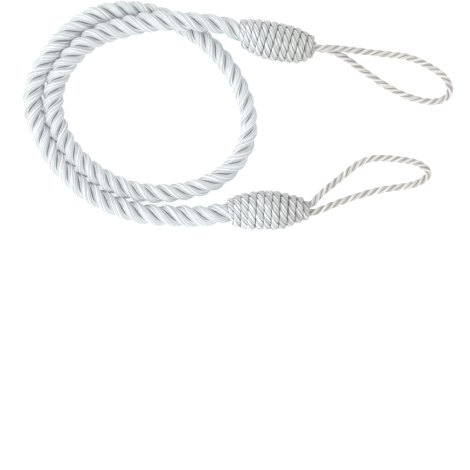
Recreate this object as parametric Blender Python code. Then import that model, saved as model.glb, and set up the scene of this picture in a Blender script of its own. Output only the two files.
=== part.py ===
# A curtain tieback of thick twisted rope, lying on a flat surface in one and a half loose turns.
# Each end of the rope is gripped by a barrel of tightly wound thin cord, and a loop of the same
# thin cord, which goes over the hook on the wall, comes out of each barrel's nose.
# Lengths are in metres. +X runs to the hanging loops, +Z is up and the surface is at Z = 0.

import math

import bmesh
import bpy
import numpy as np
from mathutils import Matrix, Vector

# How far the yarn that lies on the surface is pressed flat
PRESSED = 0.00015
# Gap left round a cord where it goes into its barrel, and round the rope, which bends there
CORD_GAP = 0.0005
ROPE_GAP = 0.0011
# How far a cutter reaches past the face that it opens, and how many sides it has
OVERCUT = 0.004
CUTTER_SIDES = 20

# Thick rope: three fat strands in a right-hand lay, a little looser or tighter from place to place:
# distance along the rope, and the length in which a strand there goes once round
ROPE_STRANDS = 3
ROPE_LAY = [
    (0.000, 0.0276), (0.090, 0.0268), (0.180, 0.0236), (0.240, 0.0240), (0.335, 0.0261),
    (0.410, 0.0250), (0.490, 0.0219), (0.535, 0.0228), (0.580, 0.0280), (0.615, 0.0345),
]
ROPE_STRAND_SHARE = 0.56
ROPE_POINTS_PER_STRAND = 4

# Thin cord of the hanging loops: three plies in a left-hand lay, tighter where it turns back
CORD_WIDTH = 0.0036
CORD_PLIES = 3
CORD_LAY = [(0.000, 0.0155), (0.045, 0.0150), (0.080, 0.0128), (0.130, 0.0165), (0.177, 0.0155)]
CORD_PLY_SHARE = 0.56
CORD_POINTS_PER_PLY = 3

# Wound barrels: one layer of thin cord, wound left-handed. A barrel's ends are cut at a slant,
# which fades out over this share of its length.
TURN_HEIGHT = 0.0009
ROWS_PER_TURN = 6
BARREL_SIDES = 22
SLANTED_SHARE = 0.3
ROPE_SOCKET_DEPTH = 0.0068
CORD_SOCKET_DEPTH = 0.0036

# Route of the rope from the lower barrel to the upper one: x, y, height above the surface, width.
# It passes under itself at the far side of the first turn and over itself at the end of the second.
ROPE_ROUTE = [
    (0.0011, -0.0527, 0.0049, 0.0103), (-0.0049, -0.0529, 0.0049, 0.0104),
    (-0.0178, -0.0550, 0.0028, 0.0108), (-0.0332, -0.0551, 0.0004, 0.0107),
    (-0.0486, -0.0544, 0.0000, 0.0104), (-0.0629, -0.0512, 0.0000, 0.0103),
    (-0.0770, -0.0452, 0.0000, 0.0101), (-0.0904, -0.0356, 0.0000, 0.0099),
    (-0.1017, -0.0231, 0.0000, 0.0098), (-0.1097, -0.0081, 0.0000, 0.0100),
    (-0.1133, 0.0079, 0.0000, 0.0104), (-0.1102, 0.0219, 0.0000, 0.0104),
    (-0.1020, 0.0357, 0.0000, 0.0104), (-0.0918, 0.0468, 0.0000, 0.0105),
    (-0.0786, 0.0549, 0.0000, 0.0107), (-0.0635, 0.0578, 0.0000, 0.0107),
    (-0.0486, 0.0565, 0.0000, 0.0106), (-0.0343, 0.0512, 0.0000, 0.0104),
    (-0.0200, 0.0425, 0.0000, 0.0101), (-0.0090, 0.0315, 0.0000, 0.0097),
    (-0.0002, 0.0178, 0.0000, 0.0093), (0.0050, 0.0032, 0.0000, 0.0093),
    (0.0050, -0.0116, 0.0000, 0.0096), (-0.0019, -0.0259, 0.0000, 0.0102),
    (-0.0156, -0.0367, 0.0000, 0.0102), (-0.0332, -0.0418, 0.0000, 0.0097),
    (-0.0497, -0.0424, 0.0000, 0.0097), (-0.0649, -0.0390, 0.0000, 0.0099),
    (-0.0781, -0.0320, 0.0000, 0.0099), (-0.0891, -0.0224, 0.0000, 0.0098),
    (-0.0975, -0.0099, 0.0000, 0.0100), (-0.1020, 0.0054, 0.0001, 0.0103),
    (-0.0992, 0.0208, 0.0020, 0.0104), (-0.0904, 0.0337, 0.0044, 0.0104),
    (-0.0778, 0.0434, 0.0047, 0.0106), (-0.0629, 0.0483, 0.0068, 0.0106),
    (-0.0464, 0.0513, 0.0099, 0.0105), (-0.0288, 0.0514, 0.0100, 0.0102),
    (-0.0140, 0.0504, 0.0076, 0.0100), (-0.0046, 0.0482, 0.0060, 0.0098),
    (0.0023, 0.0450, 0.0050, 0.0097), (0.0080, 0.0438, 0.0050, 0.0096),
]

# Each barrel: the middle of its mouth and of its nose; how many degrees out of square these are,
# with the +Y side back; where a turn first crosses over the top, and from there to the next; and its
# form as rows of share of the length, shift sideways and radius over the wound cord. The legs of its
# loop leave the nose one above the other or side by side.
BARRELS = {
    "upper": {
        "mouth": (0.0021, 0.0450, 0.0097),
        "nose": (0.0414, 0.0372, 0.0097),
        "mouth_slant": 17, "nose_slant": 6,
        "first_crest": 0.0030, "turn_spacing": 0.00425,
        "form": [
            (0, 0.0003, 0.0076), (0.09, 0.0003, 0.0083), (0.18, 0.0, 0.0091),
            (0.3, -0.0004, 0.0098), (0.6, -0.0005, 0.0098), (0.75, -0.0005, 0.0092),
            (0.85, -0.0005, 0.0082), (0.93, -0.0002, 0.0070), (1, 0.0003, 0.0057),
        ],
        "legs_apart": (0.0, 0.0, 0.0042),
    },
    "lower": {
        "mouth": (-0.0049, -0.0529, 0.0100),
        "nose": (0.0374, -0.0517, 0.0100),
        "mouth_slant": 11, "nose_slant": 10,
        "first_crest": 0.0043, "turn_spacing": 0.0042,
        "form": [
            (0, 0.0001, 0.0073), (0.1, -0.0003, 0.0090), (0.2, 0.0, 0.0097),
            (0.35, 0.0004, 0.0102), (0.5, 0.0005, 0.0103), (0.7, 0.0001, 0.0099),
            (0.83, 0.0001, 0.0080), (0.92, 0.0002, 0.0068), (1, 0.0002, 0.0057),
        ],
        "legs_apart": (0.0, 0.0040, 0.0),
    },
}

# Routes of the hanging loops, from one leg to the other: x, y, height above the surface
LOOP_ROUTES = {
    "upper": [
        (0.0385, 0.0378, 0.0101), (0.0418, 0.0372, 0.0101), (0.0504, 0.0371, 0.0085),
        (0.0614, 0.0364, 0.0038), (0.0724, 0.0351, 0.0008), (0.0834, 0.0339, 0.0),
        (0.0944, 0.0321, 0.0), (0.1043, 0.0278, 0.0), (0.1120, 0.0229, 0.0),
        (0.1163, 0.0164, 0.0), (0.1161, 0.0123, 0.0), (0.1128, 0.0092, 0.0),
        (0.1076, 0.0078, 0.0), (0.0988, 0.0090, 0.0), (0.0889, 0.0126, 0.0),
        (0.0779, 0.0188, 0.0), (0.0669, 0.0263, 0.0004), (0.0586, 0.0320, 0.0022),
        (0.0504, 0.0358, 0.0046), (0.0418, 0.0372, 0.0059), (0.0385, 0.0378, 0.0059),
    ],
    "lower": [
        (0.0344, -0.0498, 0.0082), (0.0376, -0.0496, 0.0082), (0.0446, -0.0437, 0.0063),
        (0.0537, -0.0361, 0.0026), (0.0627, -0.0286, 0.0005), (0.0713, -0.0240, 0.0),
        (0.0834, -0.0234, 0.0), (0.0944, -0.0248, 0.0), (0.1021, -0.0278, 0.0),
        (0.1047, -0.0315, 0.0), (0.1012, -0.0356, 0.0), (0.0916, -0.0387, 0.0),
        (0.0779, -0.0409, 0.0), (0.0641, -0.0446, 0.0014), (0.0504, -0.0496, 0.0054),
        (0.0376, -0.0537, 0.0082), (0.0344, -0.0538, 0.0082),
    ],
}

YARNS = {
    "rope": ((0.84, 0.86, 0.87), 0.42),
    "winding": ((0.80, 0.81, 0.80), 0.48),
    "loop": ((0.78, 0.79, 0.77), 0.50),
}


def clear_scene():
    for obj in list(bpy.data.objects):
        bpy.data.objects.remove(obj, do_unlink=True)


def yarn_material(name):
    colour, roughness = YARNS[name]
    material = bpy.data.materials.new(name + "_yarn")
    material.use_nodes = True
    shader = material.node_tree.nodes["Principled BSDF"]
    shader.inputs["Base Color"].default_value = (*colour, 1.0)
    shader.inputs["Roughness"].default_value = roughness
    shader.inputs["Metallic"].default_value = 0.0
    return material


def curve_through(points, step):
    """Rows read about every step along the natural cubic spline through the points."""
    rows = np.array(points, dtype=float)
    chords = np.linalg.norm(np.diff(rows[:, :2], axis=0), axis=1)
    knots = np.concatenate([[0.0], np.cumsum(chords)])
    gaps = np.diff(knots)
    system = np.eye(len(rows))
    bends = np.zeros_like(rows)
    for i in range(1, len(rows) - 1):
        system[i, i - 1:i + 2] = gaps[i - 1], 2 * (gaps[i - 1] + gaps[i]), gaps[i]
        slope_before = (rows[i] - rows[i - 1]) / gaps[i - 1]
        slope_after = (rows[i + 1] - rows[i]) / gaps[i]
        bends[i] = 6 * (slope_after - slope_before)
    bends = np.linalg.solve(system, bends)
    places = np.linspace(0.0, knots[-1], round(knots[-1] / step) + 1)
    cell = np.clip(np.searchsorted(knots, places, side="right") - 1, 0, len(gaps) - 1)
    gap = gaps[cell][:, None]
    past = (places - knots[cell])[:, None]
    left = gap - past
    curved = (bends[cell] * left**3 + bends[cell + 1] * past**3) / (6 * gap)
    start = (rows[cell] / gap - bends[cell] * gap / 6) * left
    end = (rows[cell + 1] / gap - bends[cell + 1] * gap / 6) * past
    return curved + start + end


def lobe_radius(angle, lobes, share):
    """Radius of a rope of unit radius whose strands' radius is this share of it."""
    sector = 2 * math.pi / lobes
    off_crest = (angle + sector / 2) % sector - sector / 2
    centre = 1 - share
    across = centre * math.sin(off_crest)
    return centre * math.cos(off_crest) + math.sqrt(share**2 - across**2)


def skin(rings, turned):
    """Faces over rings of points, split along the shorter diagonal, with the ends closed."""
    count = len(rings[0])
    points = np.concatenate(rings)
    faces = []
    for ring in range(len(rings) - 1):
        for i in range(count):
            near = ring * count + i
            near_next = ring * count + (i + 1) % count
            far, far_next = near + count, near_next + count
            faces.append((near, near_next, far))
            faces.append((near_next, far_next, far))
    faces.append(tuple(reversed(range(count))))
    faces.append(tuple(range(len(points) - count, len(points))))
    if turned:
        faces = [tuple(reversed(face)) for face in faces]
    return points, faces


def add_solid(name, points, faces, material):
    mesh = bpy.data.meshes.new(name)
    mesh.from_pydata([tuple(point) for point in points], [], faces)
    mesh.polygons.foreach_set("use_smooth", [True] * len(mesh.polygons))
    mesh.materials.append(material)
    obj = bpy.data.objects.new(name, mesh)
    bpy.context.collection.objects.link(obj)
    return obj


def add_twisted(name, rows, lobes, points_per_lobe, share, lay_table, hand, material):
    """A laid rope along rows of x, y, height and width. hand is 1 for a right-hand lay, else -1."""
    middles = rows[:, :3].copy()
    widths = rows[:, 3]
    lying = np.maximum(middles[:, 2], 0.0)
    middles[:, 2] = lying + widths / 2 - PRESSED
    ahead = np.gradient(middles, axis=0)
    ahead /= np.linalg.norm(ahead, axis=1)[:, None]
    aside = np.cross((0.0, 0.0, 1.0), ahead)
    aside /= np.linalg.norm(aside, axis=1)[:, None]
    above = np.cross(ahead, aside)
    steps = np.linalg.norm(np.diff(middles, axis=0), axis=1)
    distances, lays = np.transpose(lay_table)
    step_middles = np.cumsum(steps) - steps / 2
    turn_per_step = 2 * math.pi * steps / np.interp(step_middles, distances, lays)
    twists = np.concatenate([[0.0], np.cumsum(turn_per_step)])
    sides = lobes * points_per_lobe
    angles = np.arange(sides) * 2 * math.pi / sides
    radii = np.array([lobe_radius(angle, lobes, share) for angle in angles])
    rings = []
    for middle, side, up, twist, width in zip(middles, aside, above, twists, widths):
        turned = hand * (angles + twist)
        outward = np.outer(np.cos(turned), side) + np.outer(np.sin(turned), up)
        ring = middle + outward * (radii * width / 2)[:, None]
        ring[:, 2] = np.maximum(ring[:, 2], 0.0)
        rings.append(ring)
    points, faces = skin(rings, turned=hand < 0)
    return add_solid(name, points, faces, material)


def add_cutter(name, start, end, radius):
    along = Vector(end) - Vector(start)
    turn = Vector((0, 0, 1)).rotation_difference(along).to_matrix().to_4x4()
    place = Matrix.Translation((Vector(start) + Vector(end)) / 2) @ turn
    mesh = bpy.data.meshes.new(name)
    form = bmesh.new()
    bmesh.ops.create_cone(
        form, cap_ends=True, segments=CUTTER_SIDES, radius1=radius, radius2=radius,
        depth=along.length, matrix=place,
    )
    form.to_mesh(mesh)
    form.free()
    cutter = bpy.data.objects.new(name, mesh)
    cutter.hide_render = True
    cutter.display_type = "WIRE"
    bpy.context.collection.objects.link(cutter)
    return cutter


def cut(obj, cutter):
    modifier = obj.modifiers.new(cutter.name, "BOOLEAN")
    modifier.operation = "DIFFERENCE"
    modifier.solver = "EXACT"
    modifier.object = cutter


def add_barrel(name, barrel, rope_width, material):
    mouth = np.array(barrel["mouth"])
    nose = np.array(barrel["nose"])
    length = np.linalg.norm(nose - mouth)
    ahead = (nose - mouth) / length
    aside = np.cross((0.0, 0.0, 1.0), ahead)
    above = np.cross(ahead, aside)
    form = [(share * length, shift, radius) for share, shift, radius in barrel["form"]]
    slant_places = (0.0, SLANTED_SHARE * length, (1 - SLANTED_SHARE) * length, length)
    slants = np.radians((barrel["mouth_slant"], 0, 0, barrel["nose_slant"]))
    angles = np.arange(BARREL_SIDES) * 2 * math.pi / BARREL_SIDES
    rings = []
    for along, shift, radius in curve_through(form, barrel["turn_spacing"] / ROWS_PER_TURN):
        slant = math.tan(np.interp(along, slant_places, slants))
        forwards = along - slant * radius * np.cos(angles)
        turns_past_crest = (forwards - barrel["first_crest"]) / barrel["turn_spacing"]
        off_crest = (turns_past_crest + angles / (2 * math.pi) + 0.25) % 1 - 0.5
        sunk = TURN_HEIGHT * (1 - np.sqrt(1 - (2 * off_crest) ** 2))
        sideways = (radius - sunk) * np.cos(angles)
        upwards = (radius - sunk) * np.sin(angles)
        ring = (mouth + np.outer(forwards, ahead) + np.outer(shift + sideways, aside)
                + np.outer(upwards, above))
        ring[:, 2] = np.maximum(ring[:, 2], 0.0)
        rings.append(ring)
    points, faces = skin(rings, turned=False)
    wound = add_solid(name, points, faces, material)

    rope_socket = add_cutter(
        name + "_rope_socket",
        mouth - ahead * OVERCUT,
        mouth + ahead * ROPE_SOCKET_DEPTH,
        rope_width / 2 + ROPE_GAP,
    )
    cut(wound, rope_socket)
    for leg, sign in enumerate((1, -1)):
        axis = nose + sign * np.array(barrel["legs_apart"]) / 2
        cord_socket = add_cutter(
            f"{name}_cord_socket_{leg}",
            axis - ahead * CORD_SOCKET_DEPTH,
            axis + ahead * OVERCUT,
            CORD_WIDTH / 2 + CORD_GAP,
        )
        cut(wound, cord_socket)
    return wound


def mean_lay(lay_table):
    return sum(lay for _, lay in lay_table) / len(lay_table)


def add_rope():
    sides = ROPE_STRANDS * ROPE_POINTS_PER_STRAND
    rows = curve_through(ROPE_ROUTE, mean_lay(ROPE_LAY) / sides)
    add_twisted(
        "rope", rows, ROPE_STRANDS, ROPE_POINTS_PER_STRAND, ROPE_STRAND_SHARE,
        ROPE_LAY, 1, yarn_material("rope"),
    )


def add_loop(place, material):
    sides = CORD_PLIES * CORD_POINTS_PER_PLY
    route = [(*point, CORD_WIDTH) for point in LOOP_ROUTES[place]]
    rows = curve_through(route, mean_lay(CORD_LAY) / sides)
    add_twisted(
        "loop_" + place, rows, CORD_PLIES, CORD_POINTS_PER_PLY, CORD_PLY_SHARE,
        CORD_LAY, -1, material,
    )


def main():
    clear_scene()
    add_rope()
    winding = yarn_material("winding")
    loop = yarn_material("loop")
    rope_end_widths = {"lower": ROPE_ROUTE[0][3], "upper": ROPE_ROUTE[-1][3]}
    for place, barrel in BARRELS.items():
        add_barrel("wound_end_" + place, barrel, rope_end_widths[place], winding)
        add_loop(place, loop)


main()
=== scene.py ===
# Rope curtain tieback, lying in one and a half loose turns: its yarns, windings and finish.
# Lengths are in metres, in the frame of the solid parts. +Z is up and the surface is at Z = 0.
import math

import bpy
import numpy as np
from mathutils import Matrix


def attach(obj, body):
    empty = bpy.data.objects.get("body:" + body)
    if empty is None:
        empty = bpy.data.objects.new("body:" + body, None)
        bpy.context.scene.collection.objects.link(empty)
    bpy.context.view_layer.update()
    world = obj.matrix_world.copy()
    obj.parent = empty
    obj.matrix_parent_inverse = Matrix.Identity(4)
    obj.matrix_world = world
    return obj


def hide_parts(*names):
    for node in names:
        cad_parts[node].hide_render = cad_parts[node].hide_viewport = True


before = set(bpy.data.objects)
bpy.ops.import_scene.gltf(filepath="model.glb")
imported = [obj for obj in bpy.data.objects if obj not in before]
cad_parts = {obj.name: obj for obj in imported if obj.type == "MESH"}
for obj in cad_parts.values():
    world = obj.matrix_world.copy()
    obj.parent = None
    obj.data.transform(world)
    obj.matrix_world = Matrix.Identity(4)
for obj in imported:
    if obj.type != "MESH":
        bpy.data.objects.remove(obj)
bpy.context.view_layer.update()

randomDraws = np.random.default_rng(1847)    # seeded, so that each run draws the same
pressedFlat = 0.00015                        # how far yarn that lies on the surface is pressed flat


# The photo's frame: 470 px across at 0.55 mm to the pixel, seen from straight above
cameraFacts = {
    "photoSize": 470,
    "pixel": 0.00055,
    "originInPhoto": (238.43, 115.85),    # where the part's origin falls, in px
    "distance": 2.0,
    "sensor": 36.0,                       # mm
    "matchedHeight": 0.006,               # the height whose scale is the photo's
    "nearest": 0.1, "furthest": 20.0,
}


def addCamera(facts):
    middle = facts["photoSize"] / 2
    across = facts["photoSize"] * facts["pixel"]
    x = (middle - facts["originInPhoto"][0]) * facts["pixel"]
    y = (facts["originInPhoto"][1] - middle) * facts["pixel"]
    lens = bpy.data.cameras.new("overheadCamera")
    lens.sensor_width = facts["sensor"]
    lens.lens = facts["sensor"] * facts["distance"] / across
    lens.clip_start = facts["nearest"]
    lens.clip_end = facts["furthest"]
    camera = bpy.data.objects.new("overheadCamera", lens)
    camera.location = (x, y, facts["matchedHeight"] + facts["distance"])    # unturned, it looks down
    bpy.context.collection.objects.link(camera)
    bpy.context.scene.camera = camera


addCamera(cameraFacts)
print("camera set")


def smoothRoute(points, step):
    # rows about every step along the natural cubic spline through the points
    rows = np.array(points, dtype=float)
    chords = np.linalg.norm(np.diff(rows[:, :2], axis=0), axis=1)
    knots = np.concatenate([[0.0], np.cumsum(chords)])
    gaps = np.diff(knots)
    system = np.eye(len(rows))
    bends = np.zeros_like(rows)
    for i in range(1, len(rows) - 1):
        system[i, i - 1:i + 2] = gaps[i - 1], 2 * (gaps[i - 1] + gaps[i]), gaps[i]
        slopeBefore = (rows[i] - rows[i - 1]) / gaps[i - 1]
        slopeAfter = (rows[i + 1] - rows[i]) / gaps[i]
        bends[i] = 6 * (slopeAfter - slopeBefore)
    bends = np.linalg.solve(system, bends)
    places = np.linspace(0.0, knots[-1], round(knots[-1] / step) + 1)
    cell = np.clip(np.searchsorted(knots, places, side="right") - 1, 0, len(gaps) - 1)
    gap = gaps[cell][:, None]
    past = (places - knots[cell])[:, None]
    left = gap - past
    curved = (bends[cell] * left**3 + bends[cell + 1] * past**3) / (6 * gap)
    start = (rows[cell] / gap - bends[cell] * gap / 6) * left
    end = (rows[cell + 1] / gap - bends[cell + 1] * gap / 6) * past
    return curved + start + end


def unit(vectors):
    return vectors / np.linalg.norm(vectors, axis=-1, keepdims=True)


def alongOf(middles):
    # the distance along a cord at each of its middles
    steps = np.linalg.norm(np.diff(middles, axis=0), axis=1)
    return np.concatenate([[0.0], np.cumsum(steps)])


def slowWaves(along, count, lengths):
    # wandering values between about -1 and 1, one column for each of count yarns or strands
    total = np.zeros((len(along), count))
    for length in lengths:
        phase = randomDraws.uniform(0, 2 * math.pi, count)
        total += np.sin(along[:, None] * 2 * math.pi / length + phase)
    return total / len(lengths)


def twistAlong(along, layTable):
    # how far a cord has turned at each ring, where its lay is looser or tighter from place to place
    places, lays = np.transpose(layTable)
    turns = np.diff(along) / np.interp((along[1:] + along[:-1]) / 2, places, lays)
    return 2 * math.pi * np.concatenate([[0.0], np.cumsum(turns)])


# Where the painted shade on a cord's sides starts to ease or to deepen, and over how much, as shares of its
# half width
sideShades = {"lightStart": 0.30, "lightOver": 0.28, "darkStart": 0.66, "darkOver": 0.22}


def growing(values, start, over):
    return np.clip((values - start) / over, 0, 1)


def laidCord(facts, middles, aside, above, halfAside, halfAbove, twist):
    # Rings of points round a laid cord, whose strands bulge round their own middles and show their yarns.
    # With each point go its lay coordinates, marks for painted shade where it lies deep between strands or
    # between yarns, and how light its yarn is, partly at random and partly as a painted highlight.
    strands, yarns, perYarn = facts["strands"], facts["yarns"], facts["pointsPerYarn"]
    share = facts["strandShare"]
    strandMiddle = 1 - share
    sector = math.pi / strands
    touch = strandMiddle * math.cos(sector) + math.sqrt(share**2 - (strandMiddle * math.sin(sector))**2)
    reach = math.atan2(touch * math.sin(sector), touch * math.cos(sector) - strandMiddle)

    along = alongOf(middles)
    rings = len(along)
    perStrand = yarns * perYarn
    count = np.arange(perStrand) / perYarn                       # which yarn, and how far across it
    yarn = count.astype(int)
    across = count % 1
    ridge = np.sqrt(1 - (2 * across - 1) ** 2)                   # 0 between yarns, 1 on a yarn's crest
    points = np.zeros((rings, strands, perStrand, 3))
    lay = np.zeros((rings, strands, perStrand, 2))
    marks = {name: np.zeros((rings, strands, perStrand)) for name in ("valley", "furrow", "tone")}
    for strand in range(strands):
        swell = 1 + facts["strandWander"] * slowWaves(along, 1, facts["wanderLengths"])
        borders = slowWaves(along, yarns, facts["wanderLengths"]) * facts["yarnWander"]
        borders[:, 0] = 0.0
        borders = np.concatenate([borders, np.zeros((rings, 1))], axis=1)
        heights = 1 + facts["yarnUneven"] * slowWaves(along, yarns, facts["wanderLengths"])
        drift = randomDraws.uniform(-1, 1, yarns) + slowWaves(along, yarns, facts["wanderLengths"])
        tones = np.array(facts["yarnTonesAndHighlights"]) + facts["toneWander"] * drift
        shift = borders[:, yarn] * (1 - across) + borders[:, yarn + 1] * across
        angles = (count + shift) / yarns * 2 * reach - reach
        depth = facts["yarnDepth"] * heights[:, yarn] * (1 - ridge)
        radius = share * swell - depth / facts["halfWidth"]
        x = strandMiddle + radius * np.cos(angles)
        y = facts["hand"] * radius * np.sin(angles)
        deepness = np.clip((1 - np.hypot(x, y)) / (1 - touch), 0, 1)
        turned = facts["hand"] * (strand * 2 * math.pi / strands + twist)[:, None]
        sideways = x * np.cos(turned) - y * np.sin(turned)
        upwards = x * np.sin(turned) + y * np.cos(turned)
        # painted light: the painted valley shade eases at a lying rope's sides, where light off the pale
        # floor reaches into the valleys
        lit = growing(np.abs(sideways), sideShades["lightStart"], sideShades["lightOver"])
        deepness = deepness * (1 - facts["edgeLight"] * lit)
        # painted shade on the sides where a cord lies against its own next turn, as little light reaches
        # there
        dark = growing(np.abs(sideways), sideShades["darkStart"], sideShades["darkOver"])
        # pressed between its neighbours, a cord is squarer than round: its corners fill out
        power = facts["squareness"]
        filled = (np.hypot(sideways, upwards)
                  / (np.abs(sideways) ** power + np.abs(upwards) ** power) ** (1 / power))
        sideways = sideways * filled * halfAside[:, None]
        upwards = upwards * filled * halfAbove[:, None]
        points[:, strand] = (middles[:, None] + sideways[..., None] * aside[:, None]
                             + upwards[..., None] * above[:, None])
        lay[:, strand, :, 0] = along[:, None]
        lay[:, strand, :, 1] = (strand + count / yarns)[None] * facts["strandFace"]
        # the valley mark is painted shade: deep between strands, and at the sides where turns meet
        marks["valley"][:, strand] = np.maximum(deepness * facts["valleyDark"], dark * facts["sideDark"])
        marks["furrow"][:, strand] = 1 - ridge
        marks["tone"][:, strand] = tones[:, yarn]
    sides = strands * perStrand
    marks = {name: mark.reshape(rings, sides) for name, mark in marks.items()}
    return points.reshape(rings, sides, 3), lay.reshape(rings, sides, 2), marks


def cordMesh(name, hand, points, lay, marks):
    # one closed skin over the rings, with the lay coordinates and marks that the yarn materials read
    points = points.copy()
    points[..., 2] = np.maximum(points[..., 2], 0.0)
    rings, sides = points.shape[:2]
    ring = np.arange(rings - 1)[:, None] * sides
    side = np.arange(sides)[None]
    near, nearNext = ring + side, ring + (side + 1) % sides
    quads = np.stack([near, nearNext, nearNext + sides, near + sides], axis=-1).reshape(-1, 4)
    startCap = np.arange(sides)[::-1]
    endCap = np.arange(sides) + (rings - 1) * sides
    if hand < 0:
        quads, startCap, endCap = quads[:, ::-1], startCap[::-1], endCap[::-1]
    corners = np.concatenate([quads.ravel(), startCap, endCap])
    totals = np.concatenate([np.full(len(quads), 4), [sides, sides]])
    starts = np.concatenate([[0], np.cumsum(totals)[:-1]])
    mesh = bpy.data.meshes.new(name)
    mesh.vertices.add(rings * sides)
    mesh.vertices.foreach_set("co", points.reshape(-1).astype(np.float32))
    mesh.loops.add(len(corners))
    mesh.loops.foreach_set("vertex_index", corners.astype(np.int32))
    mesh.polygons.add(len(totals))
    mesh.polygons.foreach_set("loop_start", starts.astype(np.int32))
    mesh.polygons.foreach_set("loop_total", totals.astype(np.int32))
    mesh.polygons.foreach_set("use_smooth", np.ones(len(totals), dtype=bool))
    mesh.update(calc_edges=True)
    uv = mesh.uv_layers.new(name="lay")
    uv.data.foreach_set("uv", lay.reshape(-1, 2)[corners].reshape(-1).astype(np.float32))
    for mark, values in marks.items():
        layer = mesh.attributes.new(mark, "FLOAT", "POINT")
        layer.data.foreach_set("value", values.reshape(-1).astype(np.float32))
    mesh.validate()
    piece = bpy.data.objects.new(name, mesh)
    bpy.context.collection.objects.link(piece)
    return piece


def lyingFrame(middles):
    # what is aside of a cord that lies, which is level, and what is above it
    ahead = unit(np.gradient(middles, axis=0))
    aside = unit(np.cross((0.0, 0.0, 1.0), ahead))
    return aside, np.cross(ahead, aside)


def lyingCord(name, facts, route, layTable):
    rows = smoothRoute(route, facts["ringSpacing"])
    widths = rows[:, 3]
    middles = rows[:, :3].copy()
    middles[:, 2] = np.maximum(middles[:, 2], 0.0) + widths / 2 - pressedFlat
    aside, above = lyingFrame(middles)
    along = alongOf(middles)
    places, fullness = np.transpose(facts["fullness"])
    halfWidths = widths / 2 * np.interp(along, places, fullness)
    made = laidCord(facts, middles, aside, above, halfWidths, halfWidths, twistAlong(along, layTable))
    piece = cordMesh(name, facts["hand"], *made)
    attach(piece, "root")
    return piece, middles


# Three fat strands of satin yarn in a right-hand lay, each showing seven yarns about 1.5 mm across, some of
# them painted lighter or duller than others: partly at random, partly as painted highlight and shade along
# each strand. A squareness of 2 is round.
ropeFacts = {
    "strands": 3, "strandShare": 0.56, "hand": 1, "squareness": 2.0, "diameter": 0.0103,
    # how strong the painted shade is in the valleys and at the sides, and how much painted light eases it at
    # the sides
    "valleyDark": 1, "sideDark": 0, "edgeLight": 0.32,
    "yarns": 7, "pointsPerYarn": 6, "yarnDepth": 0.00034, "halfWidth": 0.0051, "strandFace": 0.0104,
    "yarnTonesAndHighlights": (0.35, -0.45, 0.5, -0.45, 0.5, -0.45, 0.1), "toneWander": 0.33,
    "strandWander": 0.018, "yarnWander": 0.2, "yarnUneven": 0.45, "wanderLengths": (0.019, 0.041, 0.089),
    "ringSpacing": 0.00088,
    # distance along the rope, and how full its yarns stand there: most where two runs press together
    "fullness": [
        (0.00, 1.06), (0.03, 1.12), (0.08, 1.14), (0.19, 1.15), (0.24, 1.06), (0.38, 1.06), (0.42, 1.14),
        (0.54, 1.16), (0.585, 1.06),
    ],
    # distance along the rope, and the length in which a strand there goes once round
    "lay": [
        (0.000, 0.0276), (0.090, 0.0268), (0.180, 0.0236), (0.240, 0.0240), (0.335, 0.0261),
        (0.410, 0.0250), (0.490, 0.0219), (0.535, 0.0228), (0.580, 0.0280), (0.615, 0.0345),
    ],
    # from the lower barrel to the upper one: x, y, height above the surface, width
    "route": [
        (0.0011, -0.0527, 0.0049, 0.0103), (-0.0049, -0.0529, 0.0049, 0.0104),
        (-0.0178, -0.0550, 0.0028, 0.0108), (-0.0332, -0.0551, 0.0004, 0.0107),
        (-0.0486, -0.0544, 0.0000, 0.0104), (-0.0629, -0.0512, 0.0000, 0.0103),
        (-0.0770, -0.0452, 0.0000, 0.0101), (-0.0904, -0.0356, 0.0000, 0.0099),
        (-0.1017, -0.0231, 0.0000, 0.0098), (-0.1097, -0.0081, 0.0000, 0.0100),
        (-0.1133, 0.0079, 0.0000, 0.0104), (-0.1102, 0.0219, 0.0000, 0.0104),
        (-0.1020, 0.0357, 0.0000, 0.0104), (-0.0918, 0.0468, 0.0000, 0.0105),
        (-0.0786, 0.0549, 0.0000, 0.0107), (-0.0635, 0.0578, 0.0000, 0.0107),
        (-0.0486, 0.0565, 0.0000, 0.0106), (-0.0343, 0.0512, 0.0000, 0.0104),
        (-0.0200, 0.0425, 0.0000, 0.0101), (-0.0090, 0.0315, 0.0000, 0.0097),
        (-0.0002, 0.0178, 0.0000, 0.0093), (0.0050, 0.0032, 0.0000, 0.0093),
        (0.0050, -0.0116, 0.0000, 0.0096), (-0.0019, -0.0259, 0.0000, 0.0102),
        (-0.0156, -0.0367, 0.0000, 0.0102), (-0.0332, -0.0418, 0.0000, 0.0097),
        (-0.0497, -0.0424, 0.0000, 0.0097), (-0.0649, -0.0390, 0.0000, 0.0099),
        (-0.0781, -0.0320, 0.0000, 0.0099), (-0.0891, -0.0224, 0.0000, 0.0098),
        (-0.0975, -0.0099, 0.0000, 0.0100), (-0.1020, 0.0054, 0.0001, 0.0103),
        (-0.0992, 0.0208, 0.0020, 0.0104), (-0.0904, 0.0337, 0.0044, 0.0104),
        (-0.0778, 0.0434, 0.0047, 0.0106), (-0.0629, 0.0483, 0.0068, 0.0106),
        (-0.0464, 0.0513, 0.0099, 0.0105), (-0.0288, 0.0514, 0.0100, 0.0102),
        (-0.0140, 0.0504, 0.0076, 0.0100), (-0.0046, 0.0482, 0.0060, 0.0098),
        (0.0023, 0.0450, 0.0050, 0.0097), (0.0080, 0.0438, 0.0050, 0.0096),
    ],
}


def addRope():
    piece, middles = lyingCord("twisted_rope", ropeFacts, ropeFacts["route"], ropeFacts["lay"])
    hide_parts("rope")
    return piece


rope = addRope()
print("rope laid")


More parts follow.
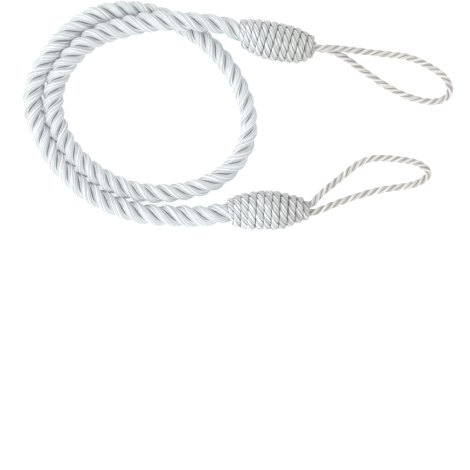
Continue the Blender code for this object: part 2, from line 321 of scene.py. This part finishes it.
# Three plies in a left-hand lay. Real spun yarn is too fine to show, so each ply is drawn with three yarns
# of 1.3 mm.
loopFacts = {
    "strands": 3, "strandShare": 0.58, "hand": -1, "squareness": 2.0, "width": 0.0040,
    # painted shade in the valleys between plies, none at the sides
    "fullness": [(0.0, 1.0)], "valleyDark": 1, "sideDark": 0, "edgeLight": 0,
    "yarns": 3, "pointsPerYarn": 6, "yarnDepth": 0.00014, "halfWidth": 0.0020, "strandFace": 0.0041,
    # the middle yarn of each ply is painted lighter, a painted highlight, and the outer two darker, a painted
    # shade; the rest varies at random
    "yarnTonesAndHighlights": (-0.3, 0.6, -0.2), "toneWander": 0.3,
    "strandWander": 0.03, "yarnWander": 0.16, "yarnUneven": 0.4, "wanderLengths": (0.007, 0.017, 0.031),
    "ringSpacing": 0.00045,
    # distance along a loop, and the length in which a ply there goes once round
    "lay": {
        "upper": [(0.000, 0.0156), (0.045, 0.0150), (0.080, 0.0129), (0.130, 0.0165), (0.177, 0.0150)],
        "lower": [
            (0.000, 0.0150), (0.040, 0.0150), (0.070, 0.0126), (0.090, 0.0129), (0.120, 0.0162),
            (0.160, 0.0174),
        ],
    },
    # from one leg to the other: x, y, height above the surface
    "route": {
        "upper": [
            (0.0385, 0.0378, 0.0101), (0.0418, 0.0372, 0.0101), (0.0504, 0.0371, 0.0085),
            (0.0614, 0.0364, 0.0038), (0.0724, 0.0351, 0.0008), (0.0834, 0.0339, 0.0),
            (0.0944, 0.0321, 0.0), (0.1043, 0.0278, 0.0), (0.1120, 0.0229, 0.0),
            (0.1163, 0.0164, 0.0), (0.1161, 0.0123, 0.0), (0.1128, 0.0092, 0.0),
            (0.1076, 0.0078, 0.0), (0.0988, 0.0090, 0.0), (0.0889, 0.0126, 0.0),
            (0.0779, 0.0188, 0.0), (0.0669, 0.0263, 0.0004), (0.0586, 0.0320, 0.0022),
            (0.0504, 0.0358, 0.0046), (0.0418, 0.0372, 0.0059), (0.0385, 0.0378, 0.0059),
        ],
        "lower": [
            (0.0344, -0.0498, 0.0082), (0.0376, -0.0496, 0.0082), (0.0446, -0.0437, 0.0063),
            (0.0537, -0.0361, 0.0026), (0.0627, -0.0286, 0.0005), (0.0713, -0.0240, 0.0),
            (0.0834, -0.0234, 0.0), (0.0944, -0.0248, 0.0), (0.1021, -0.0278, 0.0),
            (0.1047, -0.0315, 0.0), (0.1012, -0.0356, 0.0), (0.0916, -0.0387, 0.0),
            (0.0779, -0.0409, 0.0), (0.0641, -0.0446, 0.0014), (0.0504, -0.0496, 0.0054),
            (0.0376, -0.0537, 0.0082), (0.0344, -0.0538, 0.0082),
        ],
    },
}


def addLoop(place):
    route = [(*point, loopFacts["width"]) for point in loopFacts["route"][place]]
    piece, middles = lyingCord("hanging_loop_" + place, loopFacts, route, loopFacts["lay"][place])
    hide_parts("loop_" + place)
    return piece


loops = [addLoop(place) for place in loopFacts["route"]]
print("hanging loops laid")


# The same thin cord, pulled tight and so a little flat, wound left-handed round the rope's end. Each ply is
# drawn with two coarse yarns, as its real ones are too fine to show. The core is the bound rope end.
windingFacts = {
    "strands": 3, "strandShare": 0.62, "hand": -1, "squareness": 2.8,
    # painted shade in the valleys between plies and, stronger, where turns meet
    "valleyDark": 0.78, "sideDark": 0.95, "edgeLight": 0,
    "yarns": 2, "pointsPerYarn": 8, "yarnDepth": 0.00027, "halfWidth": 0.0020, "strandFace": 0.0040,
    # one yarn of each ply is painted lighter, a painted highlight along each ply; the rest varies at random
    "yarnTonesAndHighlights": (0.55, -0.2), "toneWander": 0.3,
    "strandWander": 0.04, "yarnWander": 0.16, "yarnUneven": 0.4, "wanderLengths": (0.009, 0.021, 0.047),
    "acrossTurn": 0.0046, "offCore": 0.0036, "ringSpacing": 0.00055,
    "formRows": 200, "courseStep": 0.01,    # how finely the form and the course below are followed
    "coreSunk": 0.0018, "coreTip": 0.0005, "coreStart": 0.03, "coreEnd": 0.93,
    "coreSides": 40, "coreRows": 24,
}
# The middle of each mouth and nose; the length in which a ply goes once round; the form, as share of the
# length, shift sideways and radius over the winding; and the course of the cord, as turns wound (whole ones
# cross over the top), way along from the mouth and how far the cord is tucked in below the form. A first
# short turn comes out from under the next one, and the last closes the nose round the loop's legs.
barrels = {
    "upper": {
        "mouth": (0.0021, 0.0450, 0.0097), "nose": (0.0414, 0.0372, 0.0097), "lay": 0.0137,
        "form": [
            (0, 0.0004, 0.0080), (0.09, 0.0003, 0.0089), (0.18, -0.0002, 0.0098),
            (0.3, -0.0007, 0.0106), (0.6, -0.0007, 0.0106), (0.75, -0.0008, 0.0100),
            (0.85, -0.0009, 0.0089), (0.93, -0.0004, 0.0073), (1, 0.0002, 0.0060),
        ],
        "course": [
            (-1.30, 0.0025, 0.0026), (-1.00, 0.0009, 0.0008), (-0.75, -0.0003, 0.0001), (-0.25, 0.0031, 0.0),
            (0.00, 0.0034, 0.0), (0.25, 0.0038, 0.0), (0.75, 0.0068, 0.0), (1.00, 0.0072, 0.0),
            (1.25, 0.0078, 0.0), (2.00, 0.0113, 0.0), (3.00, 0.0157, 0.0), (4.00, 0.0201, 0.0),
            (5.00, 0.0243, 0.0), (6.00, 0.0286, 0.0), (7.00, 0.0328, 0.0), (7.75, 0.0357, 0.0),
            (8.00, 0.0369, 0.0), (8.25, 0.0373, 0.0), (8.75, 0.0384, 0.0006), (9.00, 0.0390, 0.0018),
            (9.35, 0.0388, 0.0034),
        ],
    },
    "lower": {
        "mouth": (-0.0049, -0.0529, 0.0100), "nose": (0.0374, -0.0517, 0.0100), "lay": 0.0127,
        "form": [
            (0, 0.0001, 0.0074), (0.1, 0.0001, 0.0091), (0.2, -0.0001, 0.0103),
            (0.35, 0.0003, 0.0109), (0.5, 0.0004, 0.0110), (0.7, -0.0001, 0.0102),
            (0.83, 0.0001, 0.0083), (0.92, 0.0002, 0.0071), (1, 0.0002, 0.0060),
        ],
        "course": [
            (-1.35, 0.0034, 0.0026), (-1.00, 0.0016, 0.0009), (-0.75, 0.0010, 0.0001), (-0.25, 0.0037, 0.0),
            (0.00, 0.0046, 0.0), (0.25, 0.0048, 0.0), (0.75, 0.0078, 0.0), (1.00, 0.0085, 0.0),
            (1.25, 0.0089, 0.0), (2.00, 0.0124, 0.0), (3.00, 0.0168, 0.0), (4.00, 0.0210, 0.0),
            (5.00, 0.0252, 0.0), (6.00, 0.0296, 0.0), (7.00, 0.0340, 0.0), (7.75, 0.0373, 0.0),
            (8.00, 0.0382, 0.0), (8.25, 0.0386, 0.0), (8.75, 0.0415, 0.0), (9.00, 0.0417, 0.0006),
            (9.25, 0.0417, 0.0016), (9.45, 0.0413, 0.0032),
        ],
    },
}


def barrelForm(barrel):
    # the axes of a barrel, and rows of its form: way along from the mouth, shift sideways, radius
    mouth, nose = np.array(barrel["mouth"]), np.array(barrel["nose"])
    length = np.linalg.norm(nose - mouth)
    ahead = (nose - mouth) / length
    aside = np.cross((0.0, 0.0, 1.0), ahead)
    above = np.cross(ahead, aside)
    points = [(share * length, shift, radius) for share, shift, radius in barrel["form"]]
    return mouth, ahead, aside, above, smoothRoute(points, length / windingFacts["formRows"])


def addBarrel(place):
    barrel, facts = barrels[place], windingFacts
    mouth, ahead, aside, above, form = barrelForm(barrel)
    course = smoothRoute(barrel["course"], facts["courseStep"])
    roughLength = (course[-1, 0] - course[0, 0]) * 2 * math.pi * np.mean(form[:, 2])
    turn = np.linspace(course[0, 0], course[-1, 0], round(roughLength / facts["ringSpacing"]))
    along = np.interp(turn, course[:, 0], course[:, 1])
    tucked = np.interp(turn, course[:, 0], course[:, 2])
    shift = np.interp(along, form[:, 0], form[:, 1])
    radius = np.interp(along, form[:, 0], form[:, 2]) - facts["offCore"] / 2 - tucked
    angle = math.pi / 2 - 2 * math.pi * turn
    outward = np.cos(angle)[:, None] * aside + np.sin(angle)[:, None] * above
    middles = mouth + along[:, None] * ahead + shift[:, None] * aside + radius[:, None] * outward
    forward = unit(np.gradient(middles, axis=0))
    across = unit(np.cross(outward, forward))
    up = np.cross(forward, across)
    twist = twistAlong(alongOf(middles), [(0.0, barrel["lay"]), (1.0, barrel["lay"])])
    halfAcross = np.full(len(turn), facts["acrossTurn"] / 2)
    halfUp = np.full(len(turn), facts["offCore"] / 2)
    made = laidCord(facts, middles, across, up, halfAcross, halfUp, twist)
    winding = cordMesh("wound_cord_" + place, facts["hand"], *made)
    joinCore(winding, barrel)
    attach(winding, "root")
    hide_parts("wound_end_" + place)
    return winding


def joinCore(winding, barrel):
    # the bound rope end under the turns, which shows only as a grey line between them
    facts = windingFacts
    mouth, ahead, aside, above, form = barrelForm(barrel)
    ease = (1 - np.cos(np.linspace(0, math.pi, facts["coreRows"]))) / 2
    along = (facts["coreStart"] + (facts["coreEnd"] - facts["coreStart"]) * ease) * form[-1, 0]
    shift = np.interp(along, form[:, 0], form[:, 1])
    radius = np.interp(along, form[:, 0], form[:, 2]) - facts["coreSunk"]
    radius[0] = radius[-1] = facts["coreTip"]
    angle = np.linspace(0, 2 * math.pi, facts["coreSides"], endpoint=False)
    outward = np.cos(angle)[:, None] * aside + np.sin(angle)[:, None] * above
    middles = mouth + along[:, None] * ahead + shift[:, None] * aside
    points = middles[:, None] + outward[None] * radius[:, None, None]
    size = points.shape[:2]
    # the core is coloured all over in the painted shade of the valleys
    marks = {"valley": np.ones(size), "furrow": np.ones(size), "tone": np.zeros(size)}
    core = cordMesh("core", 1, points, np.zeros((*size, 2)), marks)
    bpy.ops.object.select_all(action="DESELECT")
    core.select_set(True)
    winding.select_set(True)
    bpy.context.view_layer.objects.active = winding
    bpy.ops.object.join()


windings = [addBarrel(place) for place in barrels]
print("barrels wound")


def linearColour(code):
    channels = [int(code[i:i + 2], 16) / 255 for i in (1, 3, 5)]
    return [c / 12.92 if c <= 0.04045 else ((c + 0.055) / 1.055) ** 2.4 for c in channels] + [1.0]


def addNode(tree, kind, inputs=None, links=None, **settings):
    node = tree.nodes.new("ShaderNode" + kind)
    for key, value in settings.items():
        setattr(node, key, value)
    for key, value in (inputs or {}).items():
        node.inputs[key].default_value = value
    for key, source in (links or {}).items():
        tree.links.new(source, node.inputs[key])
    return node


# Viscose, spun into yarn with little twist: bright filaments side by side. The eye sees a satin whose shine
# runs along the strands, with thin grey lines of painted shade between yarns and darker painted shade where
# strands meet. Streaks are painted shade, placed at random, for bunches of filaments that lie a little
# deeper.
# Real filaments are about 0.02 mm thick, too fine to show, so they are drawn 0.25 to 0.3 mm across. A range
# says between which values of its mark or noise a shade grows.
spunYarn = {
    "ior": 1.53, "roughness": (0.24, 0.40), "specular": 0.7, "sheen": 0.15, "sheenRoughness": 0.4,
    "anisotropy": 0.3, "grainTurn": 0.25, "streakDetail": 2.0, "filamentDetail": 3.0,
    "toneRange": (1.0, -1.0), "streakRange": (0.35, 0.7), "furrowRange": (0.15, 1.0),
    "valleyRange": (0.5, 0.95),
}
# The rope's yarn is nearly white, with a soft shine and cool grey painted shade in its valleys
ropeYarn = {
    **spunYarn, "name": "viscoseRopeYarnLaid", "crest": "#FAFCFD", "shade": "#B6BCBF", "valley": "#757C80",
    "toneShade": 0.80, "furrowShade": 0.5, "valleyShade": 0.85,
    "streakAcross": 0.0009, "streakAlong": 0.016, "streakShade": 0.35,
    "filamentAcross": 0.00030, "filamentAlong": 0.006, "filamentHeight": 0.00004,
}
# The thin cord is of tighter yarn, and looks slightly warmer and more broken up
loopYarn = {
    **spunYarn, "name": "viscoseCordYarnPlied", "crest": "#F2F1EE", "shade": "#9A9894", "valley": "#74716D",
    "toneShade": 0.75, "furrowShade": 0.4, "valleyShade": 0.7,
    "streakAcross": 0.0005, "streakAlong": 0.006, "streakShade": 0.4,
    "filamentAcross": 0.00025, "filamentAlong": 0.004, "filamentHeight": 0.00003,
}
# Wound tight, the same cord shows cool white crests over deep painted shade between its turns. Along X,
# over farRange, towards the nose of each barrel, it is painted darker and warmer: painted shade.
windingYarn = {
    **loopYarn, "name": "viscoseCordYarnWound", "crest": "#F8FBFD", "shade": "#A1A4A6", "valley": "#626465",
    "furrowShade": 0.65, "valleyShade": 0.62, "farRange": (0.002, 0.036), "farShade": "#ECEAE6",
}
# The sockets of a Mix node's two colours, and of its mixed colour
mixFirst, mixSecond, mixed = 6, 7, 2


def yarnMaterial(facts):
    material = bpy.data.materials.new(facts["name"])
    material.use_nodes = True
    tree = material.node_tree
    tree.nodes.clear()
    lay = addNode(tree, "UVMap", uv_map="lay").outputs["UV"]
    values = {}
    for mark in ("valley", "furrow", "tone"):
        values[mark] = addNode(tree, "Attribute", attribute_name=mark).outputs["Fac"]
    for noise in ("streak", "filament"):
        scale = (1 / facts[noise + "Along"], 1 / facts[noise + "Across"], 1)
        place = addNode(tree, "Mapping", {"Scale": scale}, {"Vector": lay}).outputs["Vector"]
        values[noise] = addNode(tree, "TexNoise", {"Scale": 1.0, "Detail": facts[noise + "Detail"]},
                                {"Vector": place}).outputs["Fac"]

    # from the crest colour of the lightest yarns to the shade colour: duller yarns, partly at random and
    # partly painted highlight and shade, and painted shade on streaks and in the furrows between
    shades = {}
    for kind in ("tone", "streak", "furrow"):
        start, end = facts[kind + "Range"]
        limits = {"From Min": start, "From Max": end, "To Max": facts[kind + "Shade"]}
        shades[kind] = addNode(tree, "MapRange", limits, {"Value": values[kind]}).outputs["Result"]
    shade = addNode(tree, "Math", None, {0: shades["tone"], 1: shades["streak"]}, operation="ADD").outputs[0]
    shade = addNode(tree, "Math", None, {0: shade, 1: shades["furrow"]},
                    operation="ADD", use_clamp=True).outputs[0]
    ends = {mixFirst: linearColour(facts["crest"]), mixSecond: linearColour(facts["shade"])}
    body = addNode(tree, "Mix", ends, {"Factor": shade}, data_type="RGBA").outputs[mixed]
    # painted shade in the valleys between strands and where turns meet
    start, end = facts["valleyRange"]
    deep = addNode(tree, "MapRange", {"From Min": start, "From Max": end, "To Max": facts["valleyShade"]},
                   {"Value": values["valley"]}, interpolation_type="SMOOTHSTEP").outputs["Result"]
    colour = addNode(tree, "Mix", {mixSecond: linearColour(facts["valley"])},
                     {"Factor": deep, mixFirst: body}, data_type="RGBA").outputs[mixed]
    # painted shade: darker and warmer along X towards the nose of each barrel
    if "farShade" in facts:
        place = addNode(tree, "TexCoord").outputs["Object"]
        x = addNode(tree, "SeparateXYZ", None, {"Vector": place}).outputs["X"]
        start, end = facts["farRange"]
        far = addNode(tree, "MapRange", {"From Min": start, "From Max": end}, {"Value": x},
                      interpolation_type="SMOOTHSTEP").outputs["Result"]
        colour = addNode(tree, "Mix", {mixSecond: linearColour(facts["farShade"])},
                         {"Factor": far, mixFirst: colour},
                         data_type="RGBA", blend_type="MULTIPLY").outputs[mixed]
    low, high = facts["roughness"]
    roughness = addNode(tree, "MapRange", {"To Min": low, "To Max": high}, {"Value": values["filament"]})
    bump = addNode(tree, "Bump", {"Strength": 1.0, "Distance": facts["filamentHeight"]},
                   {"Height": values["filament"]})
    grain = addNode(tree, "Tangent", direction_type="UV_MAP", uv_map="lay").outputs["Tangent"]
    shader = addNode(tree, "BsdfPrincipled",
                     {"IOR": facts["ior"], "Specular IOR Level": facts["specular"],
                      "Sheen Weight": facts["sheen"], "Sheen Roughness": facts["sheenRoughness"],
                      "Anisotropic": facts["anisotropy"], "Anisotropic Rotation": facts["grainTurn"]},
                     {"Base Color": colour, "Roughness": roughness.outputs["Result"],
                      "Normal": bump.outputs["Normal"], "Tangent": grain})
    addNode(tree, "OutputMaterial", None, {"Surface": shader.outputs["BSDF"]})
    return material


def dress(pieces, facts):
    material = yarnMaterial(facts)
    for piece in pieces:
        piece.data.materials.clear()
        piece.data.materials.append(material)


dress([rope], ropeYarn)
dress(loops, loopYarn)
dress(windings, windingYarn)
print("yarns finished")


# Soft light from the left under an even white sky. The board is matt paint, and glows a little so that it
# stays white and its shadows faint, as in the photo.
studio = {
    "floorSize": 12.0, "floorHeight": -0.0002, "floorColour": "#A0A0A0", "floorRoughness": 0.9,
    "glowColour": "#FFFFFF", "glow": 0.74,
    "keyAzimuth": 203, "keyElevation": 45, "keyDistance": 2.0, "keySize": 0.65, "keyPower": 14.0,
    "keyColour": "#FFFFFF",
    "sky": "#FFFFFF", "skyAwayFromKey": 1.02, "skyTowardsKey": 1.12,
}


def addFloor():
    half, height = studio["floorSize"] / 2, studio["floorHeight"]
    corners = [(x * half, y * half, height) for x, y in ((-1, -1), (1, -1), (1, 1), (-1, 1))]
    mesh = bpy.data.meshes.new("floor")
    mesh.from_pydata(corners, [], [(0, 1, 2, 3)])
    floor = bpy.data.objects.new("floor", mesh)
    bpy.context.collection.objects.link(floor)
    material = bpy.data.materials.new("paintedPaleBoard")
    material.use_nodes = True
    shader = material.node_tree.nodes["Principled BSDF"]
    shader.inputs["Base Color"].default_value = linearColour(studio["floorColour"])
    shader.inputs["Roughness"].default_value = studio["floorRoughness"]
    shader.inputs["Emission Color"].default_value = linearColour(studio["glowColour"])
    shader.inputs["Emission Strength"].default_value = studio["glow"]
    mesh.materials.append(material)


def addLight():
    key = bpy.data.lights.new("softKey", "AREA")
    key.shape = "DISK"
    key.size = studio["keySize"]
    key.energy = studio["keyPower"]
    key.color = linearColour(studio["keyColour"])[:3]
    lamp = bpy.data.objects.new("softKey", key)
    azimuth, elevation = math.radians(studio["keyAzimuth"]), math.radians(studio["keyElevation"])
    level = studio["keyDistance"] * math.cos(elevation)
    lamp.location = (level * math.cos(azimuth), level * math.sin(azimuth),
                     studio["keyDistance"] * math.sin(elevation))
    lamp.rotation_mode = "QUATERNION"
    lamp.rotation_quaternion = lamp.location.to_track_quat("Z", "Y")
    bpy.context.collection.objects.link(lamp)

    world = bpy.data.worlds.new("studioSky")
    world.use_nodes = True
    tree = world.node_tree
    direction = addNode(tree, "TexCoord").outputs["Generated"]
    towardsKey = addNode(tree, "VectorMath", {1: (math.cos(azimuth), math.sin(azimuth), 0.0)}, {0: direction},
                         operation="DOT_PRODUCT").outputs["Value"]
    strength = addNode(tree, "MapRange", {"From Min": -1.0, "To Min": studio["skyAwayFromKey"],
                                          "To Max": studio["skyTowardsKey"]}, {"Value": towardsKey})
    background = tree.nodes["Background"]
    background.inputs["Color"].default_value = linearColour(studio["sky"])
    tree.links.new(strength.outputs["Result"], background.inputs["Strength"])
    bpy.context.scene.world = world
    bpy.context.scene.view_settings.view_transform = "Standard"


addFloor()
addLight()
print("studio lit")
